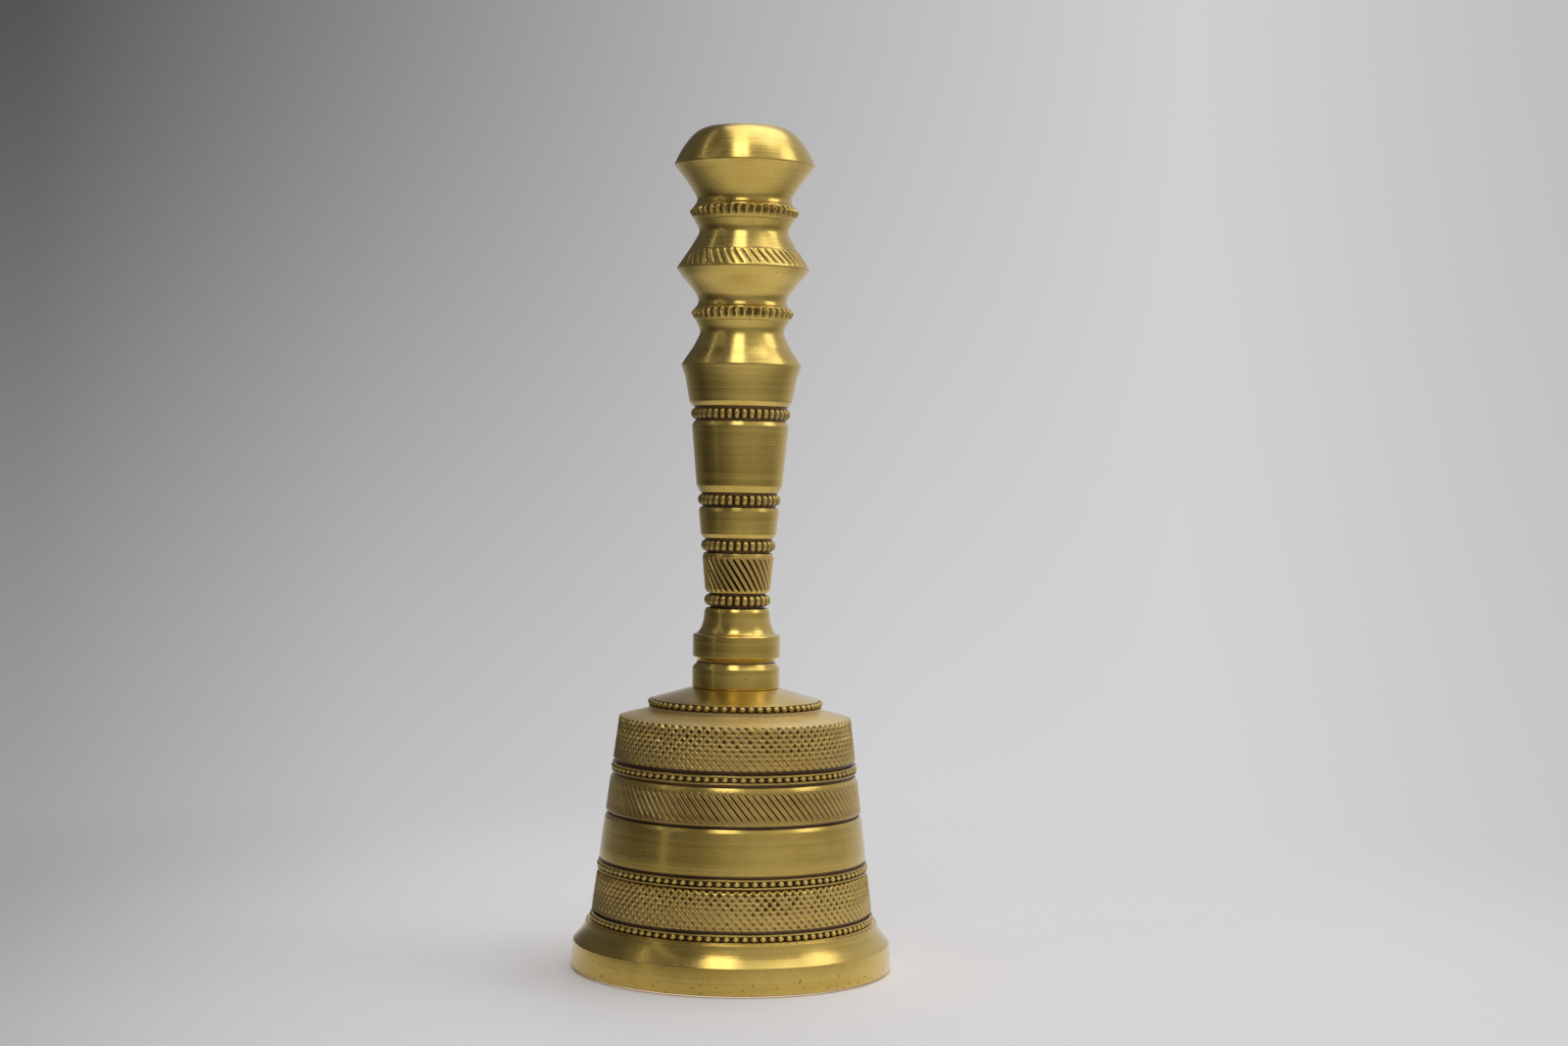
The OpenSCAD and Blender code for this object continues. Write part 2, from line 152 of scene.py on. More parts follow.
def turned(name, corners, columns, materials, step=3.0, ease=0.14, lean=None, relief=None):
    """Surface of revolution x = r cos a, y = r sin a, z = h over outline points and turning angles.
    `lean` gives an angle to add at each height, and `relief` a depth to take off each radius with
    the dirt that gathers there. An outline that starts on the axis is closed at both poles."""
    loop = corners[0][0] > 0
    outline = divided(eased(corners, ease, loop), step, loop)
    if not loop:
        tips = outline[[0, -1]]
        outline = outline[1:-1]
    radius, height = (np.repeat(outline[:, i : i + 1], columns, axis=1) for i in (0, 1))
    turn = np.arange(columns)[None, :] * 2 * np.pi / columns + np.zeros_like(radius)
    grime = np.zeros_like(radius)
    if relief:
        depth, grime = relief(turn, radius, height)
        radius = radius - depth
    if lean:
        turn = turn + lean(height)
    points = np.stack([radius * np.cos(turn), radius * np.sin(turn), height], axis=2).reshape(-1, 3)
    rows = len(outline)
    i = np.arange(rows if loop else rows - 1)[:, None]
    j = np.arange(columns)[None, :]
    above, beside = (i + 1) % rows, (j + 1) % columns
    quads = [i * columns + j, i * columns + beside, above * columns + beside, above * columns + j]
    quads = np.stack(quads, axis=2).reshape(-1, 4)
    kinds = np.repeat(outline[: len(i), 2], columns)
    fans = np.zeros((0, 3), int)
    if not loop:
        low, high = rows * columns, rows * columns + 1
        j, beside, last = j[0], beside[0], (rows - 1) * columns
        base = np.stack([np.full(columns, low), beside, j], axis=1)
        top = np.stack([np.full(columns, high), last + j, last + beside], axis=1)
        fans = np.concatenate([base, top])
        points = np.concatenate([points, np.stack([0 * tips[:, 0], 0 * tips[:, 0], tips[:, 1]], axis=1)])
        ends = [np.full(columns, tips[0, 2]), np.full(columns, outline[-1, 2])]
        kinds = np.concatenate([kinds, *ends])
        grime = np.append(grime.ravel(), [0, 0])
    return skinned(name, points, quads, fans, kinds, materials, grime.ravel())


class Amount:
    """A number that varies over a surface. Arithmetic on it adds Math nodes to its tree."""

    def __init__(self, socket):
        self.socket = socket

    def math(self, operation, first, second):
        made = add(self.socket.id_data, "ShaderNodeMath", {"operation": operation}, {0: first, 1: second})
        return Amount(made.outputs[0])

    def __add__(self, other):
        return self.math("ADD", self, other)

    def __radd__(self, other):
        return self.math("ADD", other, self)

    def __sub__(self, other):
        return self.math("SUBTRACT", self, other)

    def __rsub__(self, other):
        return self.math("SUBTRACT", other, self)

    def __mul__(self, other):
        return self.math("MULTIPLY", self, other)

    def __rmul__(self, other):
        return self.math("MULTIPLY", other, self)

    def __pow__(self, other):
        return self.math("POWER", self, other)


def add(tree, kind, settings, values):
    """One node of a kind: its settings or ramp stops first, then each socket's value or link."""
    made = tree.nodes.new(kind)
    for setting, value in settings.items():
        if setting == "stops":
            ramp = made.color_ramp.elements
            for place, colour in value[2:]:
                ramp.new(place)
            for stop, (place, colour) in zip(ramp, sorted(value)):
                stop.position = place
                stop.color = (*colour, 1.0)
        else:
            setattr(made, setting, value)
    for socket, value in values.items():
        value = value.socket if isinstance(value, Amount) else value
        if isinstance(value, bpy.types.NodeSocket):
            tree.links.new(value, made.inputs[socket])
        else:
            made.inputs[socket].default_value = value
    return made


def blended(tree, share, first, second):
    """Colour that goes from the first to the second as share goes from 0 to 1."""
    settings = {"data_type": "RGBA", "clamp_factor": True}
    ends = {0: share, 6: first, 7: second}
    ends = {k: (*v, 1.0) if isinstance(v, tuple) else v for k, v in ends.items()}
    return add(tree, "ShaderNodeMix", settings, ends).outputs[2]


def stepped(tree, amount, low, high):
    """Smooth step of an amount from 0 at low to 1 at high."""
    settings = {"interpolation_type": "SMOOTHSTEP"}
    made = add(tree, "ShaderNodeMapRange", settings, {0: amount, 1: low, 2: high})
    return Amount(made.outputs[0])


def cloud(tree, place, scale, detail=3.0):
    """Soft noise in three dimensions."""
    values = {"Vector": place, "Scale": scale, "Detail": detail}
    return Amount(add(tree, "ShaderNodeTexNoise", {}, values).outputs[0])


def tool_lines(tree, travel, scale):
    """Noise that changes only along a turned outline, as the marks of a lathe tool do."""
    values = {"W": travel, "Scale": scale, "Detail": 3.0}
    return Amount(add(tree, "ShaderNodeTexNoise", {"noise_dimensions": "1D"}, values).outputs[0])


def metal(name, light, dark, dirt_and_shade, rough, brushed=0.5, line_depth=0.3, spot_share=1.0):
    """Turned metal: clouds of tarnish from the light to the dark colour, lathe lines that follow
    height plus 0.6 of the radius, small pits, and a dark colour in the pits and where the points'
    attribute of dirt and painted shade is high: dirt in the knurls and cuts, painted shade under and
    between the beads. The pits are thickest in the lowest 6 mm, where the bell is set down."""
    material = bpy.data.materials.new(name)
    material.use_nodes = True
    tree = material.node_tree
    tree.nodes.clear()
    place = add(tree, "ShaderNodeTexCoord", {}, {}).outputs["Object"]
    x, y, z = (Amount(axis) for axis in add(tree, "ShaderNodeSeparateXYZ", {}, {0: place}).outputs)
    travel = z + 0.6 * (x * x + y * y) ** 0.5
    fine = tool_lines(tree, travel, 2600.0)
    broad = tool_lines(tree, travel, 620.0)
    tarnish = cloud(tree, place, 38.0)
    mottle = cloud(tree, place, 420.0)
    standing = 1.0 - stepped(tree, z, 0.0, 0.006)
    spots = stepped(tree, cloud(tree, place, 1300.0, 1.0) + standing * 0.07, 0.72, 0.80) * spot_share
    grime = Amount(add(tree, "ShaderNodeAttribute", {"attribute_name": "grime"}, {}).outputs["Fac"])
    shade = stepped(tree, tarnish * 0.6 + broad * 0.25 + mottle * 0.15, 0.38, 0.62)
    colour = blended(tree, shade, dark, light)
    # Dirt and painted shade: the dark colour goes on the pits and where the points' attribute is high.
    soiled_and_shaded = stepped(tree, grime + mottle * 0.3 - 0.15, 0.05, 0.85) + spots * 0.7
    colour = blended(tree, soiled_and_shaded, colour, dirt_and_shade)
    roughness = (broad - 0.5) * 0.16 + (tarnish - 0.5) * 0.12 + grime * 0.25 + spots * 0.2 + rough
    relief = fine * 0.55 + broad * 0.35 + mottle * 0.1 - spots * 0.6
    bump = add(tree, "ShaderNodeBump", {}, {"Strength": line_depth, "Distance": 0.0001, "Height": relief})
    finish = {
        "Base Color": colour,
        "Metallic": 1.0,
        "Roughness": roughness,
        "Coat Weight": 0.6,
        "Coat Roughness": 0.25,
        "Anisotropic": brushed,
        "Anisotropic Rotation": 0.25,
        "Normal": bump.outputs[0],
    }
    surface = add(tree, "ShaderNodeBsdfPrincipled", {}, finish)
    add(tree, "ShaderNodeOutputMaterial", {}, {"Surface": surface.outputs[0]})
    return material


polished_brass = metal(
    "polished_brass",
    light=(0.81, 0.585, 0.14),
    dark=(0.67, 0.46, 0.09),
    dirt_and_shade=(0.16, 0.09, 0.03),
    rough=0.26,
    brushed=0.7,
    line_depth=0.5,
)
worn_brass = metal(
    "worn_brass",
    light=(0.78, 0.55, 0.15),
    dark=(0.61, 0.40, 0.10),
    dirt_and_shade=(0.11, 0.06, 0.02),
    rough=0.29,
    brushed=0.2,
    line_depth=0.6,
)
# Dark copy of the brass: painted shade for groove floors, bead channels, necks and under edges.
painted_shade_brass = metal(
    "painted_shade_brass",
    light=(0.25, 0.14, 0.06),
    dark=(0.12, 0.065, 0.03),
    dirt_and_shade=(0.04, 0.02, 0.01),
    rough=0.5,
    brushed=0.2,
)
# Rougher brass with a colour lighter than the polished brass: painted light on the shoulder's top.
satin_painted_light_brass = metal(
    "satin_painted_light_brass",
    light=(0.86, 0.66, 0.28),
    dark=(0.72, 0.53, 0.20),
    dirt_and_shade=(0.16, 0.09, 0.03),
    rough=0.55,
    brushed=0.2,
    line_depth=0.4,
)
brasses = [polished_brass, worn_brass, painted_shade_brass, satin_painted_light_brass]


def groove(height, width=0.75):
    """The two bottom corners of a groove of the cup, whose floor is painted with shade."""
    low, high = height, height + width
    return [(side(low) - channel_depth, low, PAINTED_SHADE), (side(high) - channel_depth, high, POLISHED)]


def sunk(low, high):
    """The two corners of the channel that a separate band stands in."""
    return [(side(low) - channel_depth, low, WORN), (side(high) - channel_depth, high, WORN)]


def railed(height, top, deep, rail=0.35):
    """Channel for a row of beads, between two thin raised rails; its walls and floor are painted with
    shade.
    """
    low, high = height + rail, top - rail
    return [
        (side(height), height, POLISHED),
        (side(low), low, PAINTED_SHADE),
        (side(low) - deep, low, PAINTED_SHADE),
        (side(high) - deep, high, PAINTED_SHADE),
        (side(high), high, POLISHED),
        (side(top), top, PAINTED_SHADE),
    ]


# The flare over the rim: a straight line that bows towards the axis as a parabola.
flare_foot, flare_top, flare_hollow = 35.85, 33.0, 0.45
flare_low, flare_rise = 5.9, 4.5
share = np.linspace(0, 1, 7)[:, None]
flare = np.concatenate(
    [
        flare_foot + (flare_top - flare_foot) * share - flare_hollow * 4 * share * (1 - share),
        flare_low + flare_rise * share,
        np.full_like(share, POLISHED),
    ],
    axis=1,
).tolist()
# The rounded corner under the ceiling of the cup: a quarter of a circle.
corner_round = 6.0
quarter = np.radians(np.linspace(90, 0, 9))
inner_corner = np.stack(
    [
        side(ceiling_corner) - wall - corner_round * (1 - np.cos(quarter)),
        ceiling_corner + corner_round * np.sin(quarter),
        np.full(9, POLISHED),
    ],
    axis=1,
).tolist()
cup = turned(
    "cup",
    [(rim_radius - band_bevel, 0, POLISHED), (rim_radius - 0.03, band_bevel, POLISHED)]
    + flare
    + railed(rim_row, 12.4, 0.81)
    + groove(12.4)
    + sunk(lower_knurl_low, lower_knurl_high)
    + groove(lower_knurl_high, 0.4)
    + railed(22.05, 24.05, 0.81)
    + groove(24.05)
    + [
        (side(plain_low), plain_low, POLISHED),
        (side(33.8), 33.8, POLISHED),
        (side(plain_high) - band_bevel, plain_high, PAINTED_SHADE),
    ]
    + groove(plain_high)
    + sunk(slant_low, slant_high)
    + groove(slant_high)
    + railed(44.3, 46.2, 0.7)
    + groove(46.4)
    + sunk(upper_knurl_low, upper_knurl_high)
    + [
        (shoulder_radius, shoulder_height, SATIN_PAINTED_LIGHT),
        (crown_radius, 58.1, SATIN_PAINTED_LIGHT),
        # Behind and under the crown beads the step is painted with shade.
        (crown_radius, 59.0, PAINTED_SHADE),
        (18.94, 59.0, PAINTED_SHADE),
        (18.94, 60.5, POLISHED),
        (9.85, seat_height, POLISHED),
        (stud_hole, seat_height, PAINTED_SHADE),
        (stud_hole, ceiling, POLISHED),
    ]
    + inner_corner
    + [(side(12.0) - wall, 12.0, POLISHED), (rim_radius - wall, 0, POLISHED)],
    columns=256,
    materials=brasses,
)
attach(cup, "root")
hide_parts("bell_shell")


# ---- Rows of beads on the cup ---------------------------------------------------------------
# Four rings of beads are rolled into the cup: over the rim, over the lower knurled band, under
# the upper one and round the crown. Each bead is a bulge, painted with shade below, on its inner
# side and in the gaps beside it.


def bead_row(name, radius, height, half_width, half_height, beads, node, ridge=0.0):
    """Ring of beads: a ring whose section, an ellipse of half_width by half_height, swells and
    shrinks by (1 - 0.97 p^1.8)^0.75 with p running from -1 to 1 across each bead. `ridge` is the
    share of the height, and half of it the share of the width, that stays between the beads. Some
    of the beads are smaller, by up to 6 parts in 100."""
    columns, rows = beads * 10, 12
    turn = np.arange(columns)[None, :] * 2 * np.pi / columns
    around = np.arange(rows)[:, None] * 2 * np.pi / rows
    pace = turn * beads / (2 * np.pi)
    across = 2 * (pace - np.floor(pace)) - 1
    uneven = 1 + 0.06 * np.sin(7.3 * np.floor(pace)) * np.cos(3.1 * np.floor(pace))
    swell = (1 - 0.97 * np.abs(across) ** 1.8) ** 0.75 * np.minimum(uneven, 1.0)
    bulge = 0.5 * ridge + (1 - 0.5 * ridge) * swell
    r = radius - half_width + half_width * bulge * np.cos(around)
    z = height + half_height * (ridge + (1 - ridge) * swell) * np.sin(around)
    points = np.stack([r * np.cos(turn), r * np.sin(turn), z], axis=2).reshape(-1, 3)
    i, j = np.arange(rows)[:, None], np.arange(columns)[None, :]
    above, beside = (i + 1) % rows, (j + 1) % columns
    quads = [i * columns + j, i * columns + beside, above * columns + beside, above * columns + j]
    quads = np.stack(quads, axis=2).reshape(-1, 4)
    # Painted shade: darker below each bead, on its inner side and in the gaps between the beads.
    shaded = 0.3 * (1 - np.cos(around)) + 0.35 * np.clip(-np.sin(around), 0, 1)
    grime = np.clip(1.15 * (1 - swell) + shaded, 0, 1)
    kinds = np.zeros(len(quads))
    no_fans = np.zeros((0, 3), int)
    piece = skinned(name, points, quads, no_fans, kinds, [polished_brass], grime.ravel())
    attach(piece, "root")
    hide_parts(node)


for name, height, proud, half_width, half_height, beads in (
    ("rim_beads", 11.4, 0.28, 0.8, 0.68, 100),
    ("lower_beads", 23.05, 0.25, 0.8, 0.66, 96),
    ("upper_beads", 45.25, 0.2, 0.7, 0.6, 86),
):
    radius = side(height) + proud
    bead_row(name, radius, height, half_width, half_height, beads, "bell_shell")
bead_row("crown_beads", crown_radius + 0.29, 59.75, 0.65, 0.65, 61, "bell_shell")


# ---- Knurled and cut bands of the cup ---------------------------------------------------------
# Two broad bands are knurled in crossing lines and worn down by hands, so the pattern is deep
# along the top of each and almost gone lower down. The band between them has slanting cuts.


def smooth(value, low, high):
    """Smooth step 3t^2 - 2t^3 of t, which runs from 0 at low to 1 at high."""
    t = np.clip((value - low) / (high - low), 0, 1)
    return t * t * (3 - 2 * t)


def chance(first, second=0.0):
    """Number from 0 to 1 that looks random for whole numbers i and j: what is left of
    43758.5 sin(12.99 i + 78.23 j) over the whole number below it."""
    value = np.sin(12.9898 * first + 78.233 * second) * 43758.5453
    return value - np.floor(value)


def knurl(teeth, top, faded, row=2.0, deep=0.5, last_row=None):
    """Relief of two crossing sets of ridges that run round the band. With p and q the distances
    along each set, in teeth, a pit lies between the ridges: its depth is the smaller distance to a
    whole number. Over the drops below the top in `faded` the pits get shallower, and slanting
    streaks along the second set take their place. `last_row` is a height where pits come back."""

    def relief(turn, radius, height):
        along = turn * teeth / (2 * np.pi)
        down = (top - height) / row
        p, q = along + down, along - down
        first, second = 2 * np.abs(p - np.round(p)), 2 * np.abs(q - np.round(q))
        luck = chance(np.floor(p), np.floor(q))
        # The worn part begins lower in some places and higher in others, by up to 1.5 mm.
        drift = 0.9 * np.sin(3 * turn + 0.6) + 0.6 * np.sin(7 * turn + 2.0)
        worn = smooth(top - height + drift, faded[0], faded[1])
        if last_row:
            worn = np.minimum(worn, 1 - 0.6 * np.exp(-(((height - last_row) / 0.8) ** 2)))
        pit = np.clip(1.5 * np.minimum(first, second) - 0.10 - 0.25 * worn, 0, 1)
        strength = (1 - 0.75 * worn) * (0.65 + 0.5 * luck)
        outside = radius > side(height) - 0.45
        streak = second**1.5 * (0.3 + 0.7 * worn)
        depth = outside * (deep * strength * pit + 0.34 * streak)
        return depth, outside * (0.8 * strength * pit**1.5 + 0.45 * streak)

    return relief


def cut_band(name, corners, columns, relief, lean=None, node="bell_shell", step=0.24):
    """Separate ring with a fine pattern, set into its channel."""
    piece = turned(name, corners, columns, brasses, step=step, ease=0.1, lean=lean, relief=relief)
    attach(piece, "root")
    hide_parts(node)


band_root = 1.2
shoulder_edge = 56.4
cut_band(
    "upper_knurl",
    [
        (side(upper_knurl_low), upper_knurl_low, WORN),
        (side(shoulder_edge), shoulder_edge, SATIN_PAINTED_LIGHT),
        (shoulder_radius, shoulder_height, PAINTED_SHADE),
        (24.9, upper_knurl_high, PAINTED_SHADE),
        (side(upper_knurl_low) - band_root, upper_knurl_low, PAINTED_SHADE),
    ],
    87 * 8,
    knurl(87, shoulder_edge, (3.0, 9.6)),
)
cut_band(
    "lower_knurl",
    [
        (side(lower_knurl_low), lower_knurl_low, WORN),
        (side(20.75), 20.75, POLISHED),
        (side(lower_knurl_high) - band_bevel, lower_knurl_high, PAINTED_SHADE),
        (side(lower_knurl_high) - band_root, lower_knurl_high, PAINTED_SHADE),
        (side(lower_knurl_low) - band_root, lower_knurl_low, PAINTED_SHADE),
    ],
    104 * 8,
    knurl(104, 20.7, (2.0, 6.4), last_row=14.3),
)

slant_middle = 39.5
slant_turn = np.tan(np.radians(39)) / side(slant_middle)


def slanting_cuts(cuts, low, high, width, deep, outer, dirt_and_shade=1.1):
    """Relief of V cuts that follow the leaning columns: the depth falls from `deep` in the middle of
    a cut to nothing at `width` of the pitch, and runs out at the low and high ends."""

    def relief(turn, radius, height):
        pace = turn * cuts / (2 * np.pi)
        away = np.abs(pace - np.round(pace))
        luck = 0.8 + 0.35 * chance(np.round(pace) % cuts)
        ends = smooth(height, low, low + 0.7) * (1 - smooth(height, high - 0.9, high))
        outside = radius > outer(height)
        cut = np.clip(1 - away / width, 0, 1) ** 0.8
        return outside * ends * deep * luck * cut, np.clip(outside * ends * cut * dirt_and_shade, 0, 1)

    return relief


cut_band(
    "slant_band",
    [
        (side(slant_low), slant_low, WORN),
        (side(42.65), 42.65, POLISHED),
        (side(slant_high) - band_bevel, slant_high, PAINTED_SHADE),
        (side(slant_high) - band_root, slant_high, PAINTED_SHADE),
        (side(slant_low) - band_root, slant_low, PAINTED_SHADE),
    ],
    107 * 12,
    slanting_cuts(
        107,
        low=35.9,
        high=42.8,
        width=0.22,
        deep=0.34,
        outer=lambda height: side(height) - 0.4,
        dirt_and_shade=0.95,
    ),
    lean=lambda height: (slant_middle - height) * slant_turn,
    step=0.5,
)


# ---- Handle -----------------------------------------------------------------------------------
# The handle is one brass bar, turned: a foot with a V groove, a hollow sweep, a flaring stem with
# plain and cut bands, and a grip of two cones and a capped knob, all edges left sharp.

top_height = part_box("handle")[1][2] * mm_per_metre
foot_radius = 9.9
stem_foot = 7.3
stem_taper = np.tan(np.radians(5.6))
rope_low, rope_high = 84.7, 93.7
bevel_height = 0.9


def stem(height):
    """Radius of the stem's side: its radius where the rope cuts begin, plus the rise over them
    times the tangent of the taper."""
    return stem_foot + (height - rope_low) * stem_taper


def stem_row(low, high, deep=0.9, gap=0.1):
    """Corners of the channel of a beaded row of the stem, painted with shade."""
    return [(stem(low) - deep, low + gap, PAINTED_SHADE), (stem(high) - deep, high - gap, PAINTED_SHADE)]


# The hollow sweep over the foot: a quarter of an ellipse.
sweep_foot, sweep_top = 9.55, 7.45
sweep_low, sweep_rise = 75.3, 5.1
quarter = np.radians(np.linspace(0, 90, 9))
sweep = np.stack(
    [
        sweep_foot + (sweep_top - sweep_foot) * np.sin(quarter),
        sweep_low + sweep_rise * (1 - np.cos(quarter)),
        np.full(9, POLISHED),
    ],
    axis=1,
).tolist()
low_cone = curved(
    [(13.6, 136.2), (12.5, 138), (11.15, 140), (10.1, 142), (9.66, 143), (9.57, 143.6)]
    + [(9.7, 144.3), (10.1, 145.2), (10.5, 146.0)]
)
middle_under = curved(
    [(10.45, 149.4), (10.08, 150.2), (10.1, 150.9), (10.55, 152), (12.05, 154), (13.8, 156)]
    + [(15.0, 157.7)]
)
middle_cone = curved(
    [(12.5, 161.8), (11.15, 164), (10.37, 165.4), (10.13, 166.1), (10.25, 166.9), (10.7, 167.8)]
    + [(11.2, 168.7)]
)
knob_under = curved(
    [(11.1, 172.3), (10.75, 173.2), (10.87, 174), (12.06, 176), (13.5, 178), (15.05, 180)]
    + [(15.95, 181.0)]
)
cap = curved(
    [(15.95, 181.3), (15.2, 183), (14.4, 184.5), (13.4, 186), (12.3, 187.4), (11.0, 188.6), (9.3, 189.5)]
    + [(7.0, 189.88), (4.0, top_height - 0.03)]
)
# Outline rows with the dark finish start faces painted with shade: the V groove's floor, the necks
# between cones and ridges, the undersides of band and cone edges, and the bead channels.
handle = turned(
    "handle_bar",
    [
        (0, seat_height, PAINTED_SHADE),
        (9.6, seat_height, POLISHED),
        (foot_radius, seat_height + 0.35, POLISHED),
        (foot_radius, 67.7, POLISHED),
        (8.9, 68.9, PAINTED_SHADE),
        (8.72, 69.25, POLISHED),
        (foot_radius, 70.3, POLISHED),
        (foot_radius, 75.0, POLISHED),
    ]
    + sweep
    + [(7.0, 81.2, PAINTED_SHADE)]
    + stem_row(81.3, rope_low)
    + [(stem(rope_low) - 1.3, rope_low, WORN), (stem(rope_high) - 1.3, rope_high, WORN)]
    + stem_row(rope_high, 97.1)
    + [
        (stem(97.1) - band_bevel, 97.1, POLISHED),
        (stem(97.1 + bevel_height), 97.1 + bevel_height, POLISHED),
        (stem(104.0 - bevel_height), 104.0 - bevel_height, POLISHED),
        (stem(104.0) - band_bevel, 104.0, PAINTED_SHADE),
    ]
    + stem_row(104.0, 107.4)
    + [(8.95, 107.4, POLISHED), (9.75, 108.9, POLISHED), (11.0, 122.4, POLISHED), (10.5, 123.4, PAINTED_SHADE)]
    + stem_row(123.4, 126.8)
    + [(11.0, 126.8, POLISHED), (11.68, 127.8, POLISHED)]
    + [(12.72, 133.5, POLISHED), (13.6, 135.9, POLISHED)]
    + low_cone
    + [(9.7, 146.3, PAINTED_SHADE), (9.7, 149.1, PAINTED_SHADE)]
    + middle_under
    + [(14.0, 158.0, PAINTED_SHADE), (11.6, 161.8, POLISHED)]
    + middle_cone
    + [(10.3, 169.0, PAINTED_SHADE), (10.3, 172.0, PAINTED_SHADE)]
    + knob_under
    + cap
    + [(0, top_height, POLISHED)],
    columns=224,
    materials=brasses,
)
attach(handle, "root")
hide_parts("handle")

for name, radius, height, half_width, beads in (
    ("stem_beads_1", 7.6, 83.0, 1.2, 26),
    ("stem_beads_2", 8.5, 95.4, 1.1, 30),
    ("stem_beads_3", 9.4, 105.7, 1.1, 33),
    ("stem_beads_4", 11.3, 125.1, 1.1, 40),
):
    bead_row(name, radius, height, half_width, 1.3, beads, "handle", ridge=0.8)


# ---- Cuts on the handle -----------------------------------------------------------------------
# The lowest band of the stem is cut deep and slanting like a rope, the middle cone has a crown of
# shorter cuts above its edge, and the two ridges of the grip are notched across their tips.


def slanting(middle, slant, radius):
    """Angle that slants a cut by `slant` degrees at a radius: the drop below the cut's middle
    height times the tangent of the slant, over the radius."""
    return lambda height: (middle - height) * np.tan(np.radians(slant)) / radius


rope_root = 1.5
cut_band(
    "stem_cuts",
    [
        (stem(rope_low) - band_bevel, rope_low, POLISHED),
        (stem(85.6), 85.6, WORN),
        (stem(92.8), 92.8, POLISHED),
        (stem(rope_high) - band_bevel, rope_high, PAINTED_SHADE),
        (stem(rope_high) - rope_root, rope_high, PAINTED_SHADE),
        (stem(rope_low) - rope_root, rope_low, PAINTED_SHADE),
    ],
    31 * 16,
    slanting_cuts(
        31,
        low=84.9,
        high=93.0,
        width=0.28,
        deep=0.55,
        outer=lambda height: stem(height) - 0.5,
    ),
    slanting(89.0, 33, 7.7),
    "handle",
    step=0.3,
)


cone_side = np.array(curved([(15.0, 158.0), (13.7, 160), (12.5, 161.8)], parts=4))


def cone(height):
    """Radius of the middle cone at a height, read off its outline."""
    return np.interp(height, cone_side[:, 1], cone_side[:, 0])


cut_band(
    "cone_cuts",
    [(14.0, 157.7, PAINTED_SHADE), (15.0, 157.7, POLISHED)]
    + cone_side.tolist()
    + [(11.3, 161.8, PAINTED_SHADE)],
    45 * 12,
    slanting_cuts(
        45,
        low=158.0,
        high=161.9,
        width=0.26,
        deep=0.30,
        outer=lambda height: cone(height) - 0.4,
        dirt_and_shade=0.6,
    ),
    slanting(160.0, 34, 13.5),
    "handle",
    step=0.3,
)


def notched_ridge(name, outer, notches):
    """Ring round a ridge, with rounded notches of uneven depth cut across its tip: the depth falls
    as the 0.6th power from the middle of a notch to nothing at 0.4 of the pitch."""
    tip = max(outer)[1]
    inset = 1.1

    def relief(turn, radius, height):
        pace = turn * notches / (2 * np.pi)
        away = np.abs(pace - np.round(pace))
        luck = 0.75 + 0.4 * chance(np.round(pace) % notches, 3.0)
        rising = smooth(height, tip - 1.5, tip - 0.5) * (1 - smooth(height, tip + 0.4, tip + 1.0))
        cut = np.clip(1 - away / 0.4, 0, 1) ** 0.6 * (radius > min(outer)[0] - 0.3)
        return cut * rising * 0.65 * luck, np.clip(0.75 * cut * rising, 0, 1)

    corners = [(*point, POLISHED) for point in outer]
    corners += [(outer[-1][0] - inset, outer[-1][1], PAINTED_SHADE), (outer[0][0] - inset, outer[0][1], PAINTED_SHADE)]
    cut_band(name, corners, notches * 12, relief, None, "handle", step=0.22)


notched_ridge(
    "low_ridge",
    [(10.5, 146.0), (11.05, 146.8), (11.65, 147.9), (11.1, 148.6), (10.45, 149.4)],
    notches=39,
)
notched_ridge(
    "high_ridge",
    [(11.2, 168.7), (11.75, 169.5), (12.4, 170.7), (11.75, 171.4), (11.1, 172.3)],
    notches=43,
)


# ---- Stud, washer and nut ----------------------------------------------------------------------
# A steel stud screwed up into the handle clamps the cup with a washer and a six-sided nut. Its
# lower end is flattened and drilled across for the link. All three are dull zinc-plated steel.

dull_steel = metal(
    "dull_steel",
    light=(0.42, 0.41, 0.39),
    dark=(0.28, 0.26, 0.23),
    dirt_and_shade=(0.10, 0.06, 0.03),
    rough=0.38,
    brushed=0.0,
    line_depth=0.5,
    spot_share=1.6,
)
for name in ("handle_stud", "fixing_nut", "crown_washer"):
    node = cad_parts[name]
    node.data.materials.clear()
    node.data.materials.append(dull_steel)


# ---- Link --------------------------------------------------------------------------------------
# A closed oval of steel wire joins the stud to the clapper, so that the clapper can swing on every
# side. It is bent round from one length and welded half way up one leg.

wire_steel = metal(
    "wire_steel",
    light=(0.50, 0.49, 0.47),
    dark=(0.34, 0.32, 0.29),
    dirt_and_shade=(0.12, 0.07, 0.03),
    rough=0.32,
    brushed=0.0,
    line_depth=0.3,
    spot_share=1.0,
)
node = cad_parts["clapper_link"]
node.data.materials.clear()
node.data.materials.append(wire_steel)


# ---- Clapper -----------------------------------------------------------------------------------
# The clapper is a brass rod with an eye bent at its top. A turned brass ball is slipped on from
# below against a small collar and held by the riveted end of the rod.

for name in ("clapper_rod", "clapper_ball"):
    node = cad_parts[name]
    node.data.materials.clear()
    node.data.materials.append(polished_brass)


# ---- Floor, light and camera ---------------------------------------------------------------------
# The bell stands on a pale seamless sweep, under soft boxes overhead, in front and on both sides,
# in a surround that is brighter on the right. From below the sweep can be seen through, and it
# glows under the cup, so that the hollow of the cup can be looked into. Sizes here are in metres.


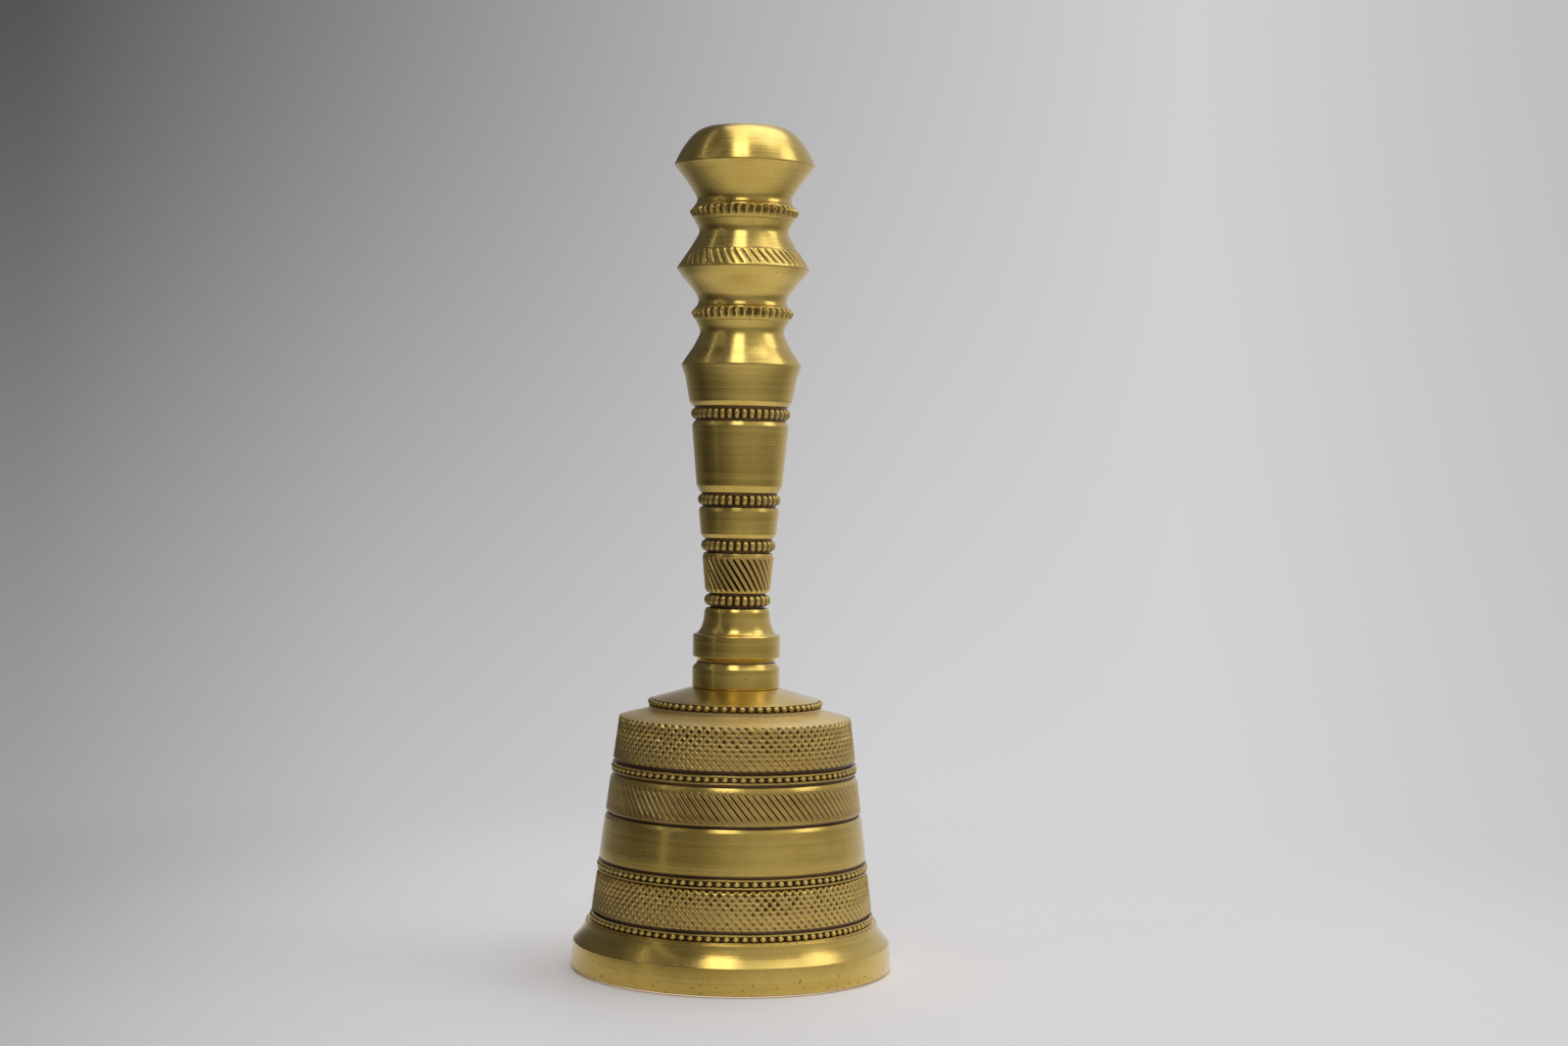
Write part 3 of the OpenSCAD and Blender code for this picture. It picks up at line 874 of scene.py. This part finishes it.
def pale_floor(radius=1.6, rings=24, columns=96, level=-0.0003):
    """Disc of rings and columns, a hair under the rim: x = r cos a, y = r sin a, z = level."""
    reach = np.linspace(0.02, radius, rings)[:, None]
    turn = np.arange(columns)[None, :] * 2 * np.pi / columns
    flat = 0 * reach * turn + level
    points = np.stack([reach * np.cos(turn), reach * np.sin(turn), flat], axis=2).reshape(-1, 3)
    points = np.concatenate([points, [[0, 0, level]]])
    i, j = np.arange(rings - 1)[:, None], np.arange(columns)[None, :]
    further, beside = i + 1, (j + 1) % columns
    quads = [i * columns + j, further * columns + j, further * columns + beside, i * columns + beside]
    quads = np.stack(quads, axis=2)
    middle = np.stack([np.full(columns, len(points) - 1), j[0], beside[0]], axis=1)
    mesh = bpy.data.meshes.new("floor")
    mesh.from_pydata(points.tolist(), [], quads.reshape(-1, 4).tolist() + middle.tolist())
    floor = bpy.data.objects.new("floor", mesh)
    bpy.context.scene.collection.objects.link(floor)
    return floor


floor = pale_floor()
sweep_paper = bpy.data.materials.new("sweep_paper")
sweep_paper.use_nodes = True
tree = sweep_paper.node_tree
tree.nodes.clear()
place = add(tree, "ShaderNodeTexCoord", {}, {}).outputs["Object"]
x, y, z = (Amount(axis) for axis in add(tree, "ShaderNodeSeparateXYZ", {}, {0: place}).outputs)
reach = (x * x + y * y) ** 0.5
underneath = Amount(add(tree, "ShaderNodeNewGeometry", {}, {}).outputs["Backfacing"])
# The paper's colour is painted with shade towards the left, from shaded_paper to lit_paper, and it glows
# as painted light: faintly all over and brightly under the cup.
shaded_paper, lit_paper = (0.34, 0.335, 0.34), (0.94, 0.93, 0.94)
cup_glow, paper_glow = (0.6, 0.6, 0.6), (0.04, 0.04, 0.04)
paper = {
    "Base Color": blended(tree, stepped(tree, x, -0.26, -0.04), shaded_paper, lit_paper),
    "Roughness": 0.7,
    "Alpha": (1.0 - stepped(tree, reach, 0.12, 0.33)) * (1.0 - underneath),
    "Emission Color": blended(tree, stepped(tree, reach, 0.0345, 0.0355), cup_glow, paper_glow),
    "Emission Strength": 1.0,
}
surface = add(tree, "ShaderNodeBsdfPrincipled", {}, paper)
add(tree, "ShaderNodeOutputMaterial", {}, {"Surface": surface.outputs[0]})
floor.data.materials.append(sweep_paper)

surround = bpy.data.worlds.new("surround")
bpy.context.scene.world = surround
surround.use_nodes = True
tree = surround.node_tree
tree.nodes.clear()
way = add(tree, "ShaderNodeTexCoord", {}, {}).outputs["Generated"]
x, y, z = (Amount(axis) for axis in add(tree, "ShaderNodeSeparateXYZ", {}, {0: way}).outputs)
bearing = x.math("ARCTAN2", x, y) * (1 / (2 * np.pi)) + 0.5


def greys(stops):
    """Ramp stops of a faintly warm grey from (bearing in degrees from the far side, brightness)."""
    tint = lambda value: (value, value * 0.985, value * 0.99)
    return [((degrees + 180) / 360, tint(value)) for degrees, value in stops]


# Brightness round the bell near the floor, and round it higher up. The stops from -121 to -115
# are a narrow bright strip on the left, nearer the camera than the bell.
low_stops = greys(
    [(-180, 0.25), (180, 0.25), (-168, 0.21), (-142, 0.13), (-115, 0.07), (-83, 0.035)]
    + [(-46, 0.14), (-16, 0.40), (-8, 0.58), (4, 0.68), (12, 0.66), (18, 0.60)]
    + [(46, 0.47), (83, 0.20), (115, 0.19), (142, 0.25)]
)
high_stops = greys(
    [(-180, 0.30), (180, 0.30), (-150, 0.14), (-121, 0.10), (-118, 0.8), (-115, 0.10)]
    + [(-95, 0.065), (-50, 0.10), (-16, 0.065), (-8, 0.24), (0, 0.44), (10, 0.64)]
    + [(18, 0.52), (45, 0.5), (90, 0.40), (140, 0.40)]
)
low = add(tree, "ShaderNodeValToRGB", {"stops": low_stops}, {0: bearing}).outputs[0]
high = add(tree, "ShaderNodeValToRGB", {"stops": high_stops}, {0: bearing}).outputs[0]
air = blended(tree, stepped(tree, z, -0.26, 0.24), low, high)
light = add(tree, "ShaderNodeBackground", {}, {"Color": air, "Strength": 1.0})
add(tree, "ShaderNodeOutputWorld", {}, {"Surface": light.outputs[0]})


def placed(across, upward, back, place):
    """Matrix that turns an object's own axes to three directions and puts it in its place."""
    axes = np.column_stack([across, upward, back, place])
    return Matrix(np.vstack([axes, [0, 0, 0, 1]]).tolist())


def soft_box(name, place, width, length, watts, along=(0.0, 1.0, 0.0)):
    """Area light that faces the middle of the bell, with its length as near as can be to `along`."""
    lamp = bpy.data.lights.new(name, "AREA")
    lamp.shape = "RECTANGLE"
    lamp.size = width
    lamp.size_y = length
    lamp.energy = watts
    shell = bpy.data.objects.new(name, lamp)
    bpy.context.scene.collection.objects.link(shell)
    back = np.array(place) - (0.0, 0.0, 0.1)
    back = back / np.linalg.norm(back)
    across = np.cross(along, back)
    across = across / np.linalg.norm(across)
    shell.matrix_world = placed(across, np.cross(back, across), back, place)


soft_box("overhead_box", (0.18, 0.15, 1.10), width=0.95, length=0.90, watts=3.9)
soft_box("front_box", (-0.10, -0.50, 1.00), width=0.32, length=0.37, watts=1.18)
soft_box("right_box", (0.83, -0.02, 0.84), width=0.32, length=0.50, watts=0.85)
soft_box("left_box", (-0.75, -0.15, 0.75), width=0.60, length=0.60, watts=0.11)
edge_run = (0.27, 0.70, 0.66)
soft_box("left_edge", (-0.66, 0.05, 0.82), width=0.025, length=1.00, watts=0.11, along=edge_run)

view = bpy.data.cameras.new("camera")
view.sensor_width = 36.0
view.lens = 58.18
view.clip_start = 0.01
camera = bpy.data.objects.new("camera", view)
bpy.context.scene.collection.objects.link(camera)
yaw, pitch, roll = np.radians((1.024, 1.262, 1.083))
ahead = np.array([np.sin(yaw) * np.cos(pitch), np.cos(yaw) * np.cos(pitch), -np.sin(pitch)])
level = np.array([np.cos(yaw), -np.sin(yaw), 0.0])
upright = np.array([np.sin(yaw) * np.sin(pitch), np.cos(yaw) * np.sin(pitch), np.cos(pitch)])
across = level * np.cos(roll) + upright * np.sin(roll)
upward = upright * np.cos(roll) - level * np.sin(roll)
stand = np.array([0.0, -0.5748, 0.1133])
camera.matrix_world = placed(across, upward, -ahead, stand)
bpy.context.scene.camera = camera
bpy.context.scene.view_settings.view_transform = "Standard"
